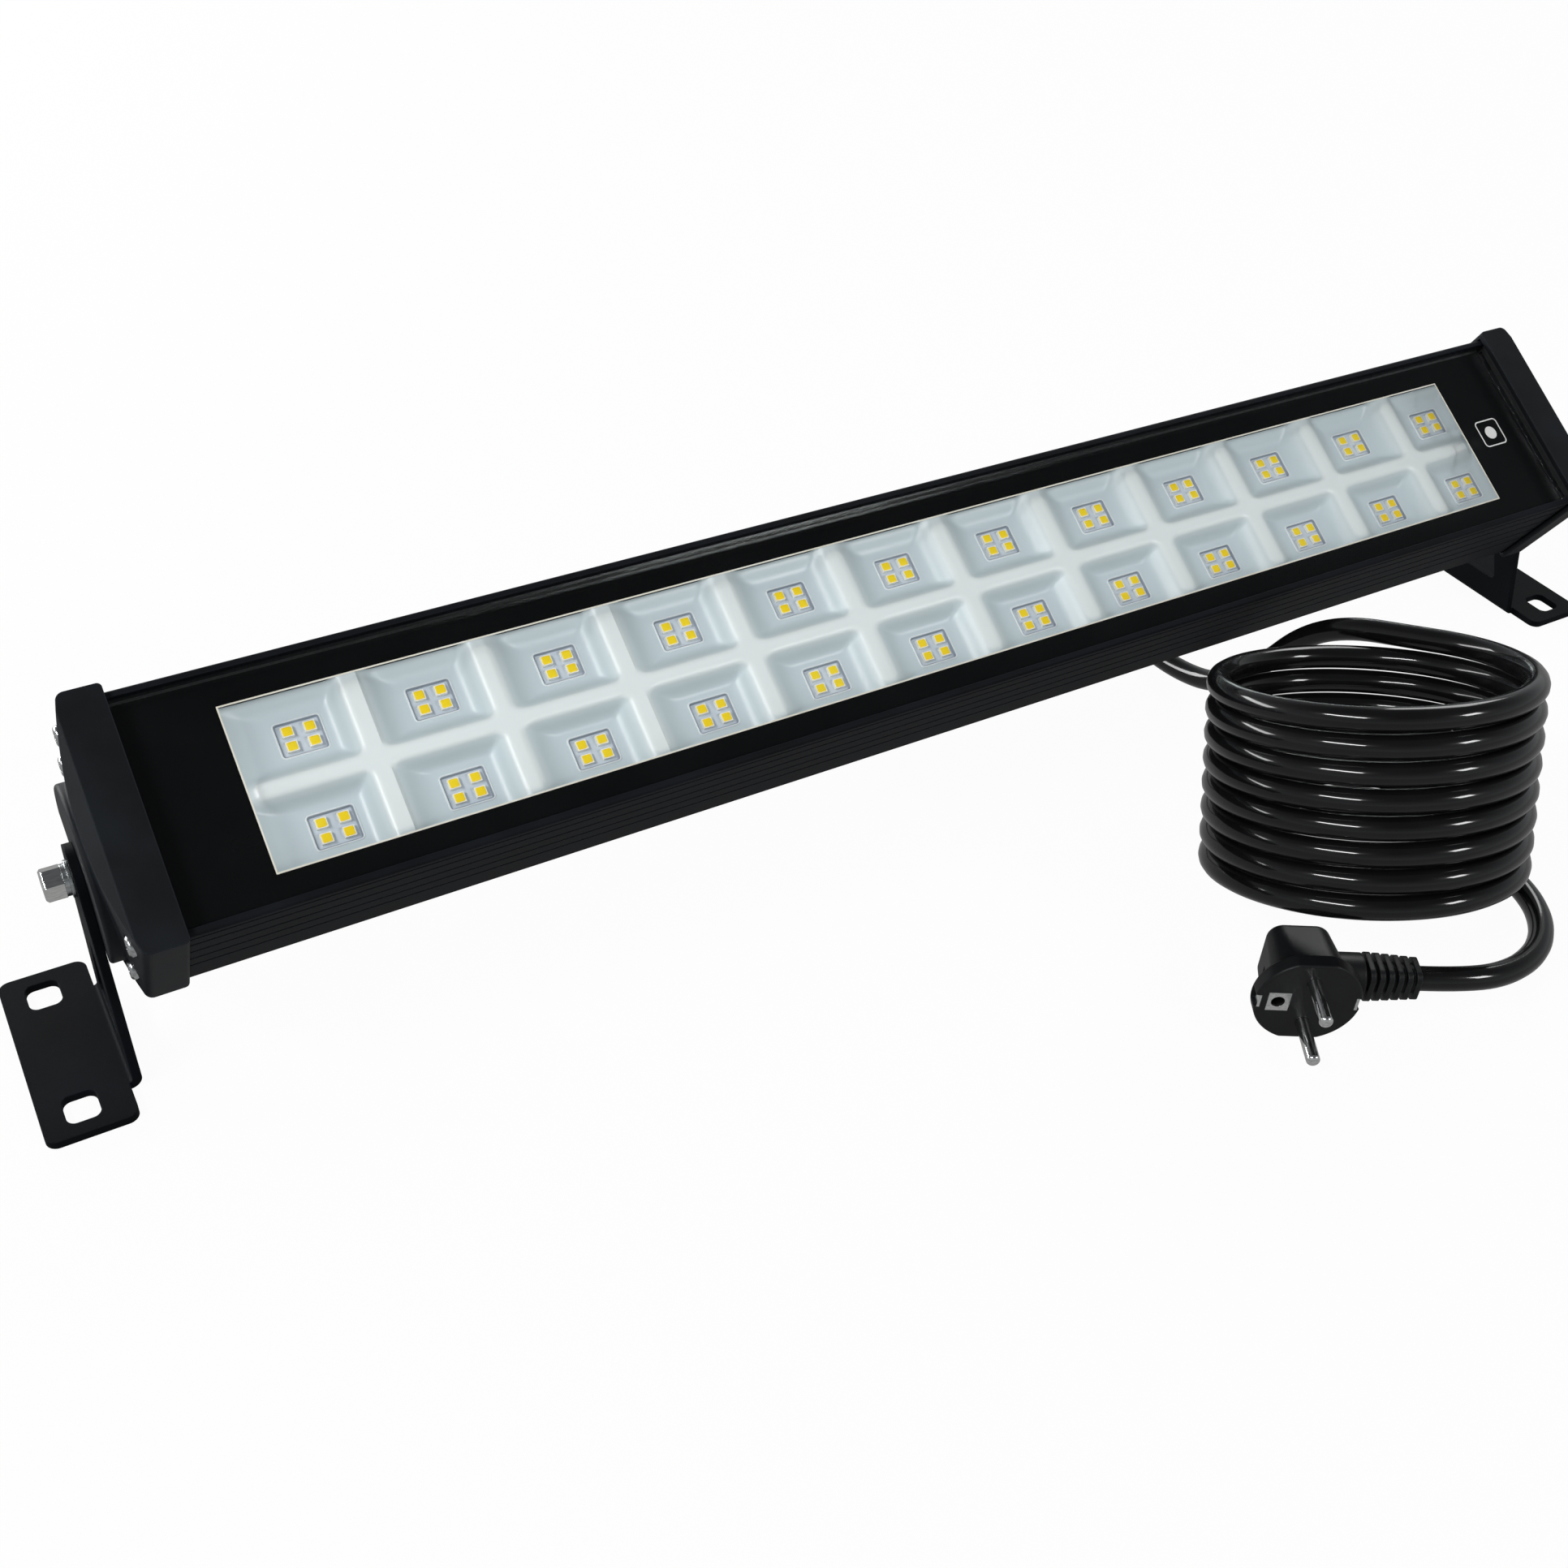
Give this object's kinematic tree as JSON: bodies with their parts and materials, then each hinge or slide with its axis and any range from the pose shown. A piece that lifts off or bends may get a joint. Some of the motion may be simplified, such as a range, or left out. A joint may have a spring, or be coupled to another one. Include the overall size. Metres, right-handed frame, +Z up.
{
  "type": "led flood light",
  "caption": "Long bar flood light with a reflector grid of LED clusters behind glass, end caps on hinged perforated feet, a coiled mains cord and an angled earthed plug.",
  "frame": {"origin": "on the floor, midway between the two feet along the lamp, at the middle of the lamp and stand from front to back", "axes": "+X along the lamp from its left end to its right end, +Y to the back, +Z up"},
  "size_m": [0.7016, 0.2826, 0.1286],
  "materials": {
    "black_aluminium": "fine-textured black powder coat",
    "front_glass": "clear tempered glass with a glossy black printed border",
    "seal_rubber": "matte black silicone",
    "reflector_plastic": "pale grey satin plastic",
    "led_body": "white moulded package",
    "led_phosphor": "yellow phosphor in clear silicone",
    "circuit_board": "white solder resist",
    "thermal_pad": "grey-blue soft pad",
    "steel_screws": "zinc-plated steel",
    "chrome_bolt": "bright chrome plate",
    "steel_washers": "bright zinc plate",
    "brass_insert": "turned brass",
    "black_plastic": "moulded black nylon",
    "terminal_plastic": "natural nylon",
    "wire_insulation": "insulated wire",
    "cord_sheath": "glossy black rubber sheath",
    "plug_plastic": "black moulded plastic",
    "plug_metal": "nickel-plated brass"
  },
  "bodies": {
    "lamp_head": {"breather_vent": "black_plastic", "cord_coil": "cord_sheath", "cord_cores": "wire_insulation", "cord_inner_end": "cord_sheath", "cord_lead": "cord_sheath", "cord_tail": "cord_sheath", "driver_board": "circuit_board", "driver_capacitors": "black_plastic", "driver_case": "steel_screws", "driver_lid": "steel_screws", "driver_transformer": "black_plastic", "front_glass": "front_glass", "gland_body": "black_plastic", "gland_lock_nut": "black_plastic", "gland_nut": "black_plastic", "gland_washer": "seal_rubber", "glass_seal": "seal_rubber", "housing_profile": "black_aluminium", "led_board": "circuit_board", "led_packages": "led_body", "led_phosphors": "led_phosphor", "left_cap_screws": "steel_screws", "left_cap_seal": "seal_rubber", "left_end_cap": "black_aluminium", "left_flat_washer": "steel_washers", "left_lock_washer": "steel_washers", "left_pivot_bolt": "chrome_bolt", "left_pivot_insert": "brass_insert", "output_wires": "wire_insulation", "plug_body": "plug_plastic", "plug_earth_contacts": "plug_metal", "plug_pins": "plug_metal", "plug_strain_relief": "plug_plastic", "reflector_tray": "reflector_plastic", "right_cap_screws": "steel_screws", "right_cap_seal": "seal_rubber", "right_end_cap": "black_aluminium", "right_flat_washer": "steel_washers", "right_lock_washer": "steel_washers", "right_pivot_bolt": "chrome_bolt", "right_pivot_insert": "brass_insert", "supply_wires": "wire_insulation", "terminal_block": "terminal_plastic", "thermal_pad": "thermal_pad", "tray_screws": "steel_screws"},
    "left_foot": {"left_bracket": "black_aluminium"},
    "right_foot": {"right_bracket": "black_aluminium"}
  },
  "joints": [
    {"name": "left_foot_hinge", "type": "hinge", "parent": "lamp_head", "child": "left_foot", "pos_m": [-0.3186, 0.00454, 0.073], "axis": [1, 0, 0], "range_deg": [-58, 122]},
    {"name": "right_foot_hinge", "type": "hinge", "parent": "lamp_head", "child": "right_foot", "pos_m": [0.3186, 0.00454, 0.073], "axis": [1, 0, 0], "range_deg": [-58, 122]}
  ]
}
